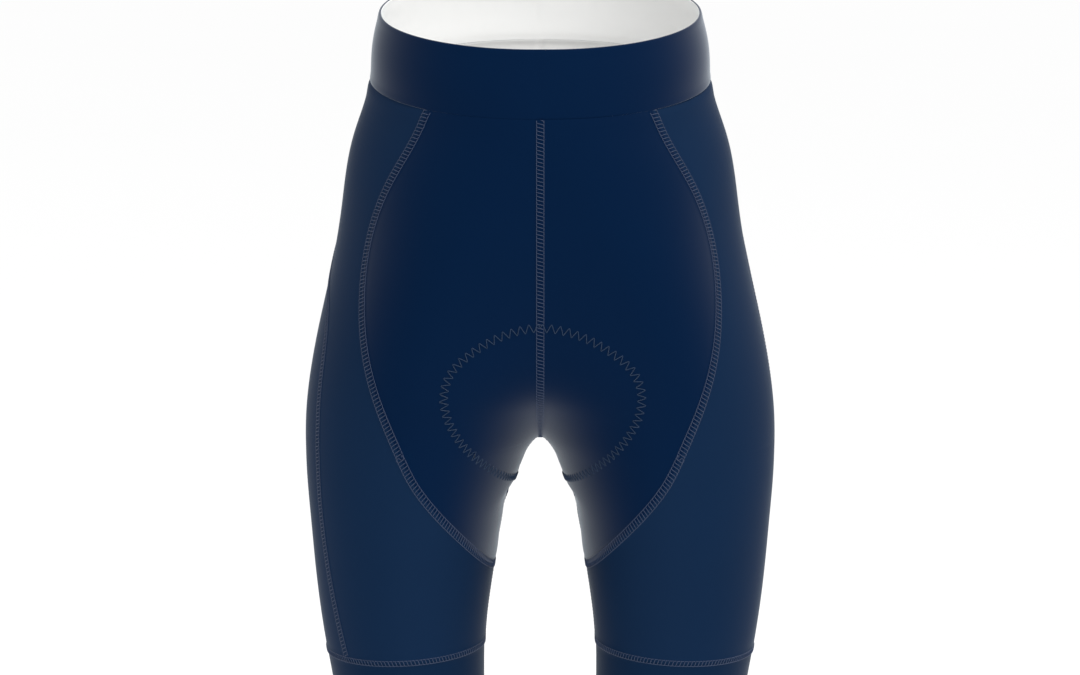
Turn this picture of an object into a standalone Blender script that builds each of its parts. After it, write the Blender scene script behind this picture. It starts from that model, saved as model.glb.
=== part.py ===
"""Cycling shorts in the shape they have when worn, hollow, with no wearer.

Nine sewn pieces of stretch cloth, each a closed wall: a waistband, two front panels,
two thigh panels, two back panels and two leg bands. Metres, +Z up. The front faces -Y
and the wearer's right leg is at -X. The origin is the middle of the waist opening.

Every piece lies on one skin. A point of the skin is given by its level, the millimetres
below the side of the waist edge, and its share, how far round the half girth it lies:
0 at the centre front or the inseam, 1 at the centre back or the inseam.
"""
import bmesh
import bpy
import numpy as np

MM = 0.001

# Driving sizes in millimetres
CROTCH = 334.0
BAND_SEAM = 51.6
CURVE_END = 435.0
HEM_SEAM = 497.0
HEM_EDGE = 556.0
SEAM_GAP = 0.34
PANEL_WALL = 1.2
WAISTBAND_WALL = 2.0
LEG_BAND_WALL = 1.5
TIP_TRIM = 1.2

# Rows and columns of faces
ROWS_ABOVE_CROTCH = 13
ROWS_TO_CURVE_END = 7
ROWS_TO_HEM = 4
FRONT_COLUMNS = 9
THIGH_COLUMNS = 12
BACK_COLUMNS = 14
WAISTBAND_ROWS = 5
LEG_BAND_ROWS = 3
RING_SAMPLES = 901

# The skin, in millimetres, a row for each level. outer: half width. centre: middle of the
# leg. inner: reach of the leg's round section towards the middle. fillet: rounding where
# the two legs join. front, back: depths. side: depth of the outermost point. tilt: drop
# towards the front for each mm of depth. lean: drop for each mm away from the inner leg.
SKIN_COLUMNS = ("level", "outer", "centre", "inner", "fillet", "front", "back", "side", "tilt", "lean")
SKIN = (
    (0.0, 124.0, 6.0, -112.0, 6.0, 92.0, 92.0, 0.0, 0.226, 0.000),
    (25.0, 129.8, 7.0, -116.0, 7.0, 97.0, 96.0, 0.0, 0.216, 0.000),
    (60.0, 133.2, 8.0, -122.0, 9.0, 102.0, 99.0, 1.0, 0.203, 0.000),
    (96.0, 144.5, 22.0, -130.0, 14.0, 104.0, 106.0, 3.0, 0.120, 0.000),
    (154.0, 154.6, 46.0, -140.0, 14.0, 106.0, 120.0, 6.0, 0.070, 0.000),
    (202.0, 163.0, 64.0, -136.0, 14.0, 105.0, 129.0, 8.0, 0.032, 0.000),
    (249.0, 173.5, 80.0, -104.0, 13.5, 102.0, 130.0, 8.0, 0.008, 0.000),
    (271.0, 177.8, 85.8, -78.0, 11.6, 100.0, 126.0, 7.0, 0.002, 0.001),
    (290.0, 180.8, 90.0, -44.0, 10.0, 98.0, 121.0, 6.0, 0.000, 0.003),
    (303.0, 182.3, 92.4, -21.0, 8.7, 96.5, 116.3, 5.0, 0.000, 0.005),
    (318.0, 183.3, 94.5, -4.0, 7.5, 95.0, 110.0, 4.0, 0.000, 0.008),
    (334.0, 183.5, 97.0, 7.0, 7.0, 94.0, 104.0, 3.0, 0.000, 0.012),
    (343.0, 183.3, 98.5, 12.1, 7.0, 93.4, 101.3, 2.1, 0.000, 0.015),
    (356.0, 182.8, 100.5, 17.5, 7.0, 92.5, 98.0, 1.0, 0.000, 0.020),
    (392.0, 180.0, 104.3, 29.0, 7.0, 90.0, 92.0, 0.0, 0.000, 0.032),
    (440.0, 175.6, 106.2, 37.3, 7.0, 86.0, 86.0, -1.0, 0.000, 0.044),
    (488.0, 169.2, 106.6, 43.5, 7.0, 81.0, 81.0, -2.0, 0.000, 0.047),
    (524.0, 163.0, 104.0, 44.4, 7.0, 77.0, 77.0, -2.0, 0.000, 0.048),
    (556.0, 157.6, 101.5, 44.2, 7.0, 74.0, 74.0, -2.0, 0.000, 0.048),
)

# The curved seam between front and thigh panels: distance from the middle as seen in front
CURVED_SEAM_COLUMNS = ("level", "across")
CURVED_SEAM = (
    (51.0, 85.0),
    (90.0, 100.8),
    (123.0, 116.9),
    (155.0, 128.2),
    (190.0, 134.5),
    (220.0, 136.0),
    (250.0, 134.0),
    (280.0, 127.5),
    (305.0, 118.7),
    (330.0, 108.2),
    (354.0, 97.0),
    (378.0, 80.5),
    (400.0, 63.0),
    (418.0, 49.0),
    (435.0, 36.5),
)

# The side seams: millimetres of cloth forward of the outermost point, for each leg
SIDE_SEAM_COLUMNS = ("level", "left_leg", "right_leg")
SIDE_SEAMS = (
    (51.0, -42.0, -46.0),
    (130.0, -30.0, -37.0),
    (175.0, -15.0, -22.0),
    (205.0, -6.0, 8.0),
    (220.0, -5.0, 27.0),
    (240.0, -7.0, 42.0),
    (270.0, -10.0, 49.0),
    (345.0, -14.0, 50.0),
    (390.0, -15.0, 49.0),
    (430.0, -15.0, 52.0),
    (500.0, -15.0, 59.0),
    (556.0, -15.0, 62.0),
)

# How far the bands press the cloth in, against the skin's own size
WAISTBAND_PRESS_COLUMNS = ("level", "press")
WAISTBAND_PRESS = ((0.0, 0.0), (28.0, 0.0), (56.0, 1.0))
LEG_BAND_PRESS = 0.5

# Sides of the body: sign of X and the side seam's column
LEGS = {"left": (1.0, "left_leg"), "right": (-1.0, "right_leg")}

# Colours as linear light, with roughness
PANEL_NAVY = (0.0060, 0.0195, 0.0560, 1.0)
WAISTBAND_NAVY = (0.0050, 0.0170, 0.0500, 1.0)
THIGH_NAVY = (0.0070, 0.0215, 0.0560, 1.0)
LEG_BAND_NAVY = (0.0060, 0.0190, 0.0520, 1.0)
CLOTH_ROUGHNESS = 0.62
BAND_ROUGHNESS = 0.55


def natural_spline(rows, columns):
    """A function of level for each column: the smoothest cubics through the rows."""
    table = np.array(rows)
    knots = table[:, 0]
    steps = np.diff(knots)
    count = len(knots)
    matrix = np.eye(count)
    bends = {}
    for row in range(1, count - 1):
        matrix[row, row - 1:row + 2] = (steps[row - 1], 2 * (steps[row - 1] + steps[row]), steps[row])
    for column, name in enumerate(columns[1:], start=1):
        slopes = np.diff(table[:, column]) / steps
        change = np.zeros(count)
        change[1:-1] = 6 * np.diff(slopes)
        bends[name] = (table[:, column], np.linalg.solve(matrix, change))

    def read(name, level):
        values, bend = bends[name]
        place = np.clip(np.searchsorted(knots, level) - 1, 0, count - 2)
        step = steps[place]
        after = (level - knots[place]) / step
        before = 1 - after
        curve = ((before ** 3 - before) * bend[place] + (after ** 3 - after) * bend[place + 1]) * step ** 2 / 6
        return before * values[place] + after * values[place + 1] + curve

    return read


read_skin = natural_spline(SKIN, SKIN_COLUMNS)
read_curved_seam = natural_spline(CURVED_SEAM, CURVED_SEAM_COLUMNS)
read_side_seam = natural_spline(SIDE_SEAMS, SIDE_SEAM_COLUMNS)
read_press = natural_spline(WAISTBAND_PRESS, WAISTBAND_PRESS_COLUMNS)


def start_turn(level):
    """The turn round the leg where the half ring leaves the middle plane, 0 once the legs part."""
    centre = read_skin("centre", level)
    reach = (centre - read_skin("fillet", level)) / (centre - read_skin("inner", level))
    return np.arccos(np.clip(reach, -1.0, 1.0))


def skin_point(level, place):
    """The skin at a level and a place from 0 to 1 round the half ring.

    Each half is an oval of four quarter ellipses about the leg's middle, in a width that is
    the root of x squared plus the fillet squared. That rounds off the join of the two legs.
    """
    centre = read_skin("centre", level)
    fillet = read_skin("fillet", level)
    side = read_skin("side", level)
    start = start_turn(level)
    turn = start + (2 * np.pi - 2 * start) * place ** 2 * (3 - 2 * place)
    inner_arm = centre - read_skin("inner", level)
    outer_arm = np.hypot(read_skin("outer", level), fillet) - centre
    width = centre - np.where(np.cos(turn) > 0, inner_arm, outer_arm) * np.cos(turn)
    depth = np.where(np.sin(turn) > 0, side + read_skin("front", level), read_skin("back", level) - side)
    x = np.sqrt(np.maximum(width ** 2 - fillet ** 2, 0.0))
    y = side - depth * np.sin(turn)
    z = -lift(level, x, y)
    return np.stack([x, y, z], axis=-1)


def lift(level, x, y):
    """Depth below the waist of the point of a level at x, y: levels tilt at the waist and lean at the hem."""
    return level - read_skin("tilt", level) * y + read_skin("lean", level) * (x - read_skin("centre", level))


def field(level, x, y):
    """One on the skin, less inside it, more outside it."""
    centre = read_skin("centre", level)
    fillet = read_skin("fillet", level)
    side = read_skin("side", level)
    width = np.hypot(x, fillet) - centre
    outer_arm = np.hypot(read_skin("outer", level), fillet) - centre
    arm = np.where(width < 0, centre - read_skin("inner", level), outer_arm)
    depth = np.where(y < side, side + read_skin("front", level), read_skin("back", level) - side)
    return (width / arm) ** 2 + ((y - side) / depth) ** 2


def skin_normal(level, point):
    """The outward direction: the slope of the field along x, y and z."""
    nudge = 0.02
    x, y = point[..., 0], point[..., 1]
    across = (field(level, x + nudge, y) - field(level, x - nudge, y)) / (2 * nudge)
    along = (field(level, x, y + nudge) - field(level, x, y - nudge)) / (2 * nudge)
    down = (field(level + nudge, x, y) - field(level - nudge, x, y)) / (2 * nudge)
    rate = (lift(level + nudge, x, y) - lift(level - nudge, x, y)) / (2 * nudge)
    down_for_depth = down / rate
    slope_x = across - down_for_depth * read_skin("lean", level)
    slope_y = along + down_for_depth * read_skin("tilt", level)
    normal = np.stack([slope_x, slope_y, -down_for_depth], axis=-1)
    return normal / np.linalg.norm(normal, axis=-1, keepdims=True)


def ring_table(level):
    """Places round the half ring, with the share of its girth and the girth at each."""
    places = np.linspace(0.0, 1.0, RING_SAMPLES)
    points = skin_point(np.full(RING_SAMPLES, level), places)
    lengths = np.concatenate([[0.0], np.cumsum(np.linalg.norm(np.diff(points, axis=0), axis=1))])
    return places, lengths, points


def on_skin(levels, shares):
    """Points and normals for rows of levels, each with its row of shares of the half girth."""
    points = np.empty(shares.shape + (3,))
    normals = np.empty_like(points)
    for row, level in enumerate(levels):
        places, lengths, _ = ring_table(level)
        place = np.interp(shares[row], lengths / lengths[-1], places)
        whole_row = np.full(place.shape, level)
        points[row] = skin_point(whole_row, place)
        normals[row] = skin_normal(whole_row, points[row])
    return points, normals


def curved_seam_share(level):
    """Share of the half girth where the front view shows the curved seam."""
    if level >= CURVE_END:
        return 0.0
    _, lengths, points = ring_table(level)
    outermost = int(np.argmax(points[:, 0]))
    across = float(read_curved_seam("across", np.array(level)))
    return float(np.interp(across, points[:outermost, 0], lengths[:outermost])) / lengths[-1]


def side_seam_share(level, leg):
    """Share of the half girth of a leg's side seam, measured from the outermost point."""
    _, lengths, points = ring_table(level)
    outermost = int(np.argmax(points[:, 0]))
    return (lengths[outermost] - float(read_side_seam(leg, np.array(level)))) / lengths[-1]


def girth(level):
    return ring_table(level)[1][-1]


def panel_levels():
    """The rows that all panels share: close together where the cloth turns under the crotch."""
    above = np.linspace(1.0, 0.0, ROWS_ABOVE_CROTCH + 1) ** 1.6
    below = (1 - np.cos(np.pi * np.linspace(0.0, 1.0, ROWS_TO_CURVE_END + 1))) / 2
    last = np.linspace(0.0, 1.0, ROWS_TO_HEM + 1)[1:]
    top = BAND_SEAM + SEAM_GAP / 2
    tip = CURVE_END - TIP_TRIM
    bottom = HEM_SEAM - SEAM_GAP / 2
    return np.concatenate([
        CROTCH - (CROTCH - top) * above[:-1],
        CROTCH + (tip - CROTCH) * below,
        [CURVE_END],
        CURVE_END + (bottom - CURVE_END) * last,
    ])


def seam_shares(levels, seam):
    """A seam's share at each level, and half the seam gap there as a share, wider on slanting runs."""
    shares = np.array([seam(level) for level in levels])
    girths = np.array([girth(level) for level in levels])
    slant = np.gradient(shares * girths, levels)
    return shares, SEAM_GAP / 2 * np.hypot(1.0, np.clip(slant, -3, 3)) / girths


def wall(outer, inner, ring=False):
    """A closed wall between two grids of points, with its rims. A ring's columns join up."""
    rows, columns = outer.shape[:2]
    count = rows * columns
    corners = np.arange(count).reshape(rows, columns)
    if ring:
        corners = np.concatenate([corners, corners[:, :1]], axis=1)
    here, right = corners[:-1, :-1], corners[:-1, 1:]
    below, diagonal = corners[1:, :-1], corners[1:, 1:]
    skin_faces = np.stack([here, below, diagonal, right], axis=-1).reshape(-1, 4)
    faces = [skin_faces, skin_faces[:, ::-1] + count]
    edges = [corners[0], corners[-1][::-1]]
    if not ring:
        edges += [corners[:, 0][::-1], corners[:, -1]]
    for edge in edges:
        faces.append(np.stack([edge[:-1], edge[1:], edge[1:] + count, edge[:-1] + count], axis=-1))
    return np.concatenate([outer.reshape(-1, 3), inner.reshape(-1, 3)]), np.concatenate(faces)


def piece(name, outer, inner, colour, roughness, ring=False):
    """One sewn piece as an object with its own material, its faces pointing outwards."""
    points, faces = wall(outer, inner, ring)
    mesh = bpy.data.meshes.new(name)
    mesh.from_pydata((points * MM).tolist(), [], faces.tolist())
    edit = bmesh.new()
    edit.from_mesh(mesh)
    bmesh.ops.recalc_face_normals(edit, faces=edit.faces)
    bmesh.ops.triangulate(edit, faces=edit.faces, quad_method="SHORT_EDGE")
    edit.to_mesh(mesh)
    edit.free()
    mesh.shade_smooth()
    mesh.set_sharp_from_angle(angle=np.radians(50))
    material = bpy.data.materials.new(name + "_cloth")
    material.use_nodes = True
    shader = material.node_tree.nodes["Principled BSDF"]
    shader.inputs["Base Color"].default_value = colour
    shader.inputs["Roughness"].default_value = roughness
    shader.inputs["Metallic"].default_value = 0.0
    mesh.materials.append(material)
    obj = bpy.data.objects.new(name, mesh)
    bpy.context.collection.objects.link(obj)
    return obj


def panel(name, levels, first, last, columns, sign, colour):
    """A panel between two seams, given as shares at each level, on one side of the body."""
    across = np.linspace(0.0, 1.0, columns + 1)
    shares = first[:, None] + (last - first)[:, None] * across
    points, normals = on_skin(levels, shares)
    side = np.array([sign, 1.0, 1.0])
    return piece(name, points * side, (points - PANEL_WALL * normals) * side, colour, CLOTH_ROUGHNESS)


def build_panels(leg):
    """Front, thigh and back panel of one leg, which share their rows along each seam."""
    sign, seam_column = LEGS[leg]
    levels = panel_levels()
    curve, curve_gap = seam_shares(levels, curved_seam_share)
    side, side_gap = seam_shares(levels, lambda level: side_seam_share(level, seam_column))
    middle_gap = np.array([SEAM_GAP / 2 / girth(level) for level in levels])
    tip_row = ROWS_ABOVE_CROTCH + ROWS_TO_CURVE_END + 1
    front = slice(0, tip_row)
    thigh_edge = np.where(levels < CURVE_END, curve + curve_gap, middle_gap)
    panel("front_panel_" + leg, levels[front], middle_gap[front], (curve - curve_gap)[front],
          FRONT_COLUMNS, sign, PANEL_NAVY)
    panel("thigh_panel_" + leg, levels, thigh_edge, side - side_gap, THIGH_COLUMNS, sign, THIGH_NAVY)
    panel("back_panel_" + leg, levels, side + side_gap, 1.0 - middle_gap, BACK_COLUMNS, sign, PANEL_NAVY)


def seam_columns(level, leg):
    """Shares of the columns that the three panels of a leg have at a level."""
    curve = curved_seam_share(level)
    side = side_seam_share(level, LEGS[leg][1])
    thigh = np.linspace(curve, side, THIGH_COLUMNS + 1)
    back = np.linspace(side, 1.0, BACK_COLUMNS + 1)
    front = np.linspace(0.0, curve, FRONT_COLUMNS + 1)[:-1] if curve > 0 else np.empty(0)
    return np.concatenate([front, thigh[:-1], back])


def build_waistband():
    """The waistband: one ring over both sides, pressed in a little at its lower seam."""
    levels = np.linspace(0.0, BAND_SEAM - SEAM_GAP / 2, WAISTBAND_ROWS + 1)
    press = read_press("press", levels)[:, None, None]
    halves = []
    for leg, (sign, _) in LEGS.items():
        shares = np.tile(seam_columns(BAND_SEAM, leg), (len(levels), 1))
        points, normals = on_skin(levels, shares)
        side = np.array([sign, 1.0, 1.0])
        outer = (points - press * normals) * side
        inner = (points - (press + WAISTBAND_WALL) * normals) * side
        halves.append((outer, inner))
    (left_outer, left_inner), (right_outer, right_inner) = halves
    outer = np.concatenate([left_outer, right_outer[:, -2:0:-1]], axis=1)
    inner = np.concatenate([left_inner, right_inner[:, -2:0:-1]], axis=1)
    piece("waistband", outer, inner, WAISTBAND_NAVY, BAND_ROUGHNESS, ring=True)


def build_leg_band(leg):
    """A leg band: one ring round the leg, from the hem seam to the open hem."""
    sign = LEGS[leg][0]
    levels = np.linspace(HEM_SEAM + SEAM_GAP / 2, HEM_EDGE, LEG_BAND_ROWS + 1)
    shares = np.tile(seam_columns(HEM_SEAM, leg)[:-1], (len(levels), 1))
    points, normals = on_skin(levels, shares)
    side = np.array([sign, 1.0, 1.0])
    outer = (points - LEG_BAND_PRESS * normals) * side
    inner = (points - (LEG_BAND_PRESS + LEG_BAND_WALL) * normals) * side
    piece("leg_band_" + leg, outer, inner, LEG_BAND_NAVY, BAND_ROUGHNESS, ring=True)


def clear_scene():
    for obj in list(bpy.data.objects):
        bpy.data.objects.remove(obj)


def main():
    clear_scene()
    build_waistband()
    for leg in LEGS:
        build_panels(leg)
        build_leg_band(leg)


main()
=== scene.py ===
"""Looks of the cycling shorts: knit cloth shells, seam threads, floor, light and camera.

Every piece follows one skin, the same as the solids'. A point of the skin is given by its
level, the millimetres below the side of the waist edge, and its share, how far round the
half girth it lies: 0 at the centre front or the inseam, 1 at the centre back or the inseam.
Lengths are in millimetres until a mesh is made.
"""
import math

import bpy
import numpy as np
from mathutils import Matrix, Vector


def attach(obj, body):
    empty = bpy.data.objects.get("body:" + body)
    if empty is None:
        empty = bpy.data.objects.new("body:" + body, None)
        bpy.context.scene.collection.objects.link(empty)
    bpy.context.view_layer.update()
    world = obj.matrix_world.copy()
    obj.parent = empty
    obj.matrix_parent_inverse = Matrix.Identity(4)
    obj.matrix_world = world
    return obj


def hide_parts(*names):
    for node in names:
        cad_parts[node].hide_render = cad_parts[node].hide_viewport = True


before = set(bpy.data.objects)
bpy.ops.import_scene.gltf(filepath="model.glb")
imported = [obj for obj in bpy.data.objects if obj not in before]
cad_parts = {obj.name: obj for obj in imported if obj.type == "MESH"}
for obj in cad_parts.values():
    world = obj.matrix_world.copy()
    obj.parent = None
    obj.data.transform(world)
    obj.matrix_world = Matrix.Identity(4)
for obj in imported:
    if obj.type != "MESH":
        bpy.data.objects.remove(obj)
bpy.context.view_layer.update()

MM = 0.001

# Seam levels and cloth thicknesses. TIP_TRIM: how far short of the curved seam's end the front
# panel's tip stops.
CROTCH = 334.0
BAND_SEAM = 51.6
CURVE_END = 435.0
HEM_SEAM = 497.0
HEM_EDGE = 556.0
PANEL_WALL = 1.2
WAISTBAND_WALL = 2.0
LEG_BAND_WALL = 1.5
TIP_TRIM = 0.25

# The skin, a row for each level. outer: half width. centre: middle of the leg. inner: reach
# of the leg's round section towards the middle. fillet: rounding where the two legs join.
# front, back: depths. side: depth of the outermost point. tilt: drop towards the front for
# each mm of depth. lean: drop for each mm away from the inner leg.
SKIN_COLUMNS = (
    "level", "outer", "centre", "inner", "fillet", "front", "back", "side", "tilt", "lean")
SKIN = (
    (0.0, 124.0, 6.0, -112.0, 6.0, 92.0, 92.0, 0.0, 0.226, 0.000),
    (25.0, 129.8, 7.0, -116.0, 7.0, 97.0, 96.0, 0.0, 0.216, 0.000),
    (60.0, 133.2, 8.0, -122.0, 9.0, 102.0, 99.0, 1.0, 0.203, 0.000),
    (96.0, 144.5, 22.0, -130.0, 14.0, 104.0, 106.0, 3.0, 0.120, 0.000),
    (154.0, 154.6, 46.0, -140.0, 14.0, 106.0, 120.0, 6.0, 0.070, 0.000),
    (202.0, 163.0, 64.0, -136.0, 14.0, 105.0, 129.0, 8.0, 0.032, 0.000),
    (249.0, 173.5, 80.0, -104.0, 13.5, 102.0, 130.0, 8.0, 0.008, 0.000),
    (271.0, 177.8, 85.8, -78.0, 11.6, 100.0, 126.0, 7.0, 0.002, 0.001),
    (290.0, 180.8, 90.0, -44.0, 10.0, 98.0, 121.0, 6.0, 0.000, 0.003),
    (303.0, 182.3, 92.4, -21.0, 8.7, 96.5, 116.3, 5.0, 0.000, 0.005),
    (318.0, 183.3, 94.5, -4.0, 7.5, 95.0, 110.0, 4.0, 0.000, 0.008),
    (334.0, 183.5, 97.0, 7.0, 7.0, 94.0, 104.0, 3.0, 0.000, 0.012),
    (343.0, 183.3, 98.5, 12.1, 7.0, 93.4, 101.3, 2.1, 0.000, 0.015),
    (356.0, 182.8, 100.5, 17.5, 7.0, 92.5, 98.0, 1.0, 0.000, 0.020),
    (392.0, 180.0, 104.3, 29.0, 7.0, 90.0, 92.0, 0.0, 0.000, 0.032),
    (440.0, 175.6, 106.2, 37.3, 7.0, 86.0, 86.0, -1.0, 0.000, 0.044),
    (488.0, 169.2, 106.6, 43.5, 7.0, 81.0, 81.0, -2.0, 0.000, 0.047),
    (524.0, 163.0, 104.0, 44.4, 7.0, 77.0, 77.0, -2.0, 0.000, 0.048),
    (556.0, 157.6, 101.5, 44.2, 7.0, 74.0, 74.0, -2.0, 0.000, 0.048),
)

# The curved seam between front and thigh panels: distance from the middle as seen in front
CURVED_SEAM_COLUMNS = ("level", "across")
CURVED_SEAM = (
    (51.0, 85.0),
    (90.0, 100.8),
    (123.0, 116.9),
    (155.0, 128.2),
    (190.0, 134.5),
    (220.0, 136.0),
    (250.0, 134.0),
    (280.0, 127.5),
    (305.0, 118.7),
    (330.0, 108.2),
    (354.0, 97.0),
    (378.0, 80.5),
    (400.0, 63.0),
    (418.0, 49.0),
    (435.0, 36.5),
)

# The side seams: millimetres of cloth forward of the outermost point, for each leg
SIDE_SEAM_COLUMNS = ("level", "left_leg", "right_leg")
SIDE_SEAMS = (
    (51.0, -42.0, -46.0),
    (130.0, -30.0, -37.0),
    (175.0, -15.0, -22.0),
    (205.0, -6.0, 8.0),
    (220.0, -5.0, 27.0),
    (240.0, -7.0, 42.0),
    (270.0, -10.0, 49.0),
    (345.0, -14.0, 50.0),
    (390.0, -15.0, 49.0),
    (430.0, -15.0, 52.0),
    (500.0, -15.0, 59.0),
    (556.0, -15.0, 62.0),
)

# The zigzag line that holds the seat pad, as seen in front and from behind: from its top on
# the middle down to the inseam. Each row is a level and a distance from the middle.
PAD_FRONT = (
    (231.0, 0.0),
    (233.6, 19.0),
    (241.5, 39.0),
    (252.5, 56.0),
    (268.0, 70.5),
    (287.0, 75.5),
    (305.0, 72.0),
    (325.0, 61.0),
    (343.0, 45.0),
    (356.0, 31.0),
    (366.0, 18.6),
)
PAD_BACK = (
    (199.0, 0.0),
    (203.0, 34.0),
    (218.0, 66.0),
    (248.0, 84.0),
    (284.0, 83.0),
    (318.0, 66.0),
    (344.0, 42.0),
    (366.0, 18.6),
)

# Creases as soft troughs (depth above 0) and ridges (below 0). Each row is a leg, level, share,
# length, width, depth and turn, the degrees from level, rising towards the outside. The first
# rows of a leg are those the photo shows at the inner thigh; the others are like ones on hidden
# sides.
CREASES = (
    ("left", 366.0, 0.000, 22.0, 5.0, -1.2, -12.0),
    ("left", 371.5, 0.000, 9.0, 1.3, 0.9, -12.0),
    ("left", 377.5, 0.000, 22.0, 5.0, 2.4, -12.0),
    ("left", 389.0, 0.000, 30.0, 8.0, 1.0, -8.0),
    ("left", 355.0, 0.000, 26.0, 9.0, -0.8, -8.0),
    ("left", 424.0, 0.000, 18.0, 12.0, -1.0, -8.0),
    ("left", 435.5, 0.000, 7.0, 1.3, 1.0, -12.0),
    ("left", 373.0, 1.000, 20.0, 4.5, 2.4, 10.0),
    ("left", 386.0, 1.000, 34.0, 9.0, 1.4, 6.0),
    ("left", 349.0, 0.900, 34.0, 6.5, 1.6, 14.0),
    ("left", 338.0, 0.870, 40.0, 8.0, -1.1, 16.0),
    ("left", 369.0, 0.860, 26.0, 6.0, 0.9, 5.0),
    ("right", 363.5, 0.000, 22.0, 4.5, -1.2, -14.0),
    ("right", 368.5, 0.000, 9.0, 1.3, 1.0, -14.0),
    ("right", 374.0, 0.000, 24.0, 5.0, 2.6, -14.0),
    ("right", 386.0, 0.000, 30.0, 8.0, 1.2, -8.0),
    ("right", 353.0, 0.000, 26.0, 9.0, -0.8, -8.0),
    ("right", 424.0, 0.000, 18.0, 12.0, -0.8, -8.0),
    ("right", 435.5, 0.000, 7.0, 1.3, 1.1, -12.0),
    ("right", 372.0, 1.000, 18.0, 4.5, 2.5, 12.0),
    ("right", 388.0, 1.000, 30.0, 9.0, 1.3, 7.0),
    ("right", 353.0, 0.890, 38.0, 7.0, 1.8, 12.0),
    ("right", 341.0, 0.880, 36.0, 8.0, -1.0, 18.0),
    ("right", 375.0, 0.850, 22.0, 6.0, 0.8, 3.0),
)

# Sewing: a flat seam has two thread rows, and a thread that crosses between them once a stitch.
# The pad's zigzag gets closer by PAD_ZIGZAG_CLOSER towards its end, and each half of its line
# is a little wider or narrower than the table.
SEAM_HALF_WIDTH = 2.75
CURVED_SEAM_HALF_WIDTH = 3.05
STITCH_PITCH = 2.9
THREAD_RADIUS = 0.31
HEM_HALF_WIDTH = 2.0
PAD_ZIGZAG_HALF_WIDTH = 3.3
PAD_ZIGZAG_PITCH = 6.8
PAD_ZIGZAG_CLOSER = 0.21
PAD_WIDENING = {"left": 1.022, "right": 0.972}
PAD_THREAD_RADIUS = 0.34
TUBE_SIDES = 5
THREAD_TIP = 0.05

# Relief of a flat seam: a ridge, a furrow at its middle and a pulled-in edge each side
RIDGE_HEIGHT = 0.32
RIDGE_REACH = 3.1
FURROW_DEPTH = 0.08
FURROW_REACH = 0.5
PULL_DEPTH = 0.07
PULL_AWAY = 4.8
PULL_REACH = 1.6
HEM_SEAM_HEIGHT = 0.8

# The panels dent where the waistband grips them and swell a little below it
BAND_DENT = 1.3
BAND_DENT_REACH = 3.0
BAND_SWELL = 0.5
BAND_SWELL_BELOW = 7.0
BAND_SWELL_REACH = 6.0

# How far behind the innermost line of the leg the inseam runs, and how soon it gets there
INSEAM_BEHIND = 9.0
INSEAM_TURNS_WITHIN = 30.0

# A distance in millimetres at which no seam shapes the cloth
OUT_OF_REACH = 99.0

# How much smaller than worn the stretch cloth is cut
CUT_ROUND = 0.88
CUT_DOWN = 0.96

# Worn width and length of the smallest rectangle each panel is cut from, and the levels at
# which the bands' girths are measured
FRONT_PANEL_WORN = (175.0, 400.0)
SIDE_PANEL_WORN = (290.0, 450.0)
WAISTBAND_MIDDLE = 28.0
LEG_BAND_MIDDLE = 528.0

# Sides of the body: sign of X and the side seam's column
LEGS = {"left": (1.0, "left_leg"), "right": (-1.0, "right_leg")}

# Camera: distance, height of the point it looks at, tilt down, size of one photo pixel there
PHOTO_WIDTH_PX = 1080
PHOTO_MIDDLE_PX = 540.0
SHORTS_MIDDLE_PX = 540.2
PIXEL_SIZE = 0.00078
CAMERA_DISTANCE = 3.6
CAMERA_TARGET_Z = -0.255
CAMERA_DOWN = math.radians(9.0)
SENSOR_WIDTH = 36.0

# The room, in metres
FLOOR_Z = -0.95
FLOOR_HALF_WIDTH = 30.0
WHITE_LIGHT = 1.02

# Colours: the darkest and the lightest of each cloth and thread
FRONT_NAVY = (0.0, 0.0070, 0.0292, 1.0), (0.0, 0.0089, 0.0342, 1.0)
SIDE_NAVY = (0.0030, 0.0130, 0.0380, 1.0), (0.0042, 0.0170, 0.0480, 1.0)
LEG_BAND_NAVY = (0.0022, 0.0115, 0.0340, 1.0), (0.0032, 0.0150, 0.0430, 1.0)
SEAM_SLATE = (0.021, 0.034, 0.073, 1.0), (0.032, 0.048, 0.095, 1.0)
PAD_SLATE = (0.006, 0.020, 0.050, 1.0), (0.012, 0.030, 0.068, 1.0)
FLOOR_WHITE = (0.955, 0.955, 0.955, 1.0), (0.965, 0.965, 0.965, 1.0)
INSIDE_WHITE = (0.86, 0.86, 0.85, 1.0)
# Painted sheen: the grey that the knits' base colour is painted towards at grazing views
PAINTED_SHEEN_GREY = (0.49, 0.5, 0.53, 1.0)
SHEEN_BLUE = (0.80, 0.93, 1.0, 1.0)


def natural_spline(knots, values):
    """A function through the values at the knots: cubics whose slope and bend run on."""
    steps = np.diff(knots)
    count = len(knots)
    matrix = np.eye(count)
    for row in range(1, count - 1):
        matrix[row, row - 1:row + 2] = (
            steps[row - 1], 2 * (steps[row - 1] + steps[row]), steps[row])
    change = np.zeros(count)
    change[1:-1] = 6 * np.diff(np.diff(values) / steps)
    bend = np.linalg.solve(matrix, change)

    def read(at):
        place = np.clip(np.searchsorted(knots, at) - 1, 0, count - 2)
        step = steps[place]
        after = (at - knots[place]) / step
        before = 1 - after
        curve = (before ** 3 - before) * bend[place] + (after ** 3 - after) * bend[place + 1]
        return before * values[place] + after * values[place + 1] + curve * step ** 2 / 6

    return read


def table_splines(rows, columns):
    """A spline over the level for each named column of a table."""
    table = np.array(rows)
    return {name: natural_spline(table[:, 0], table[:, i]) for i, name in enumerate(columns) if i}


SKIN_AT = table_splines(SKIN, SKIN_COLUMNS)
CURVED_SEAM_AT = table_splines(CURVED_SEAM, CURVED_SEAM_COLUMNS)
SIDE_SEAM_AT = table_splines(SIDE_SEAMS, SIDE_SEAM_COLUMNS)


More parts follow.
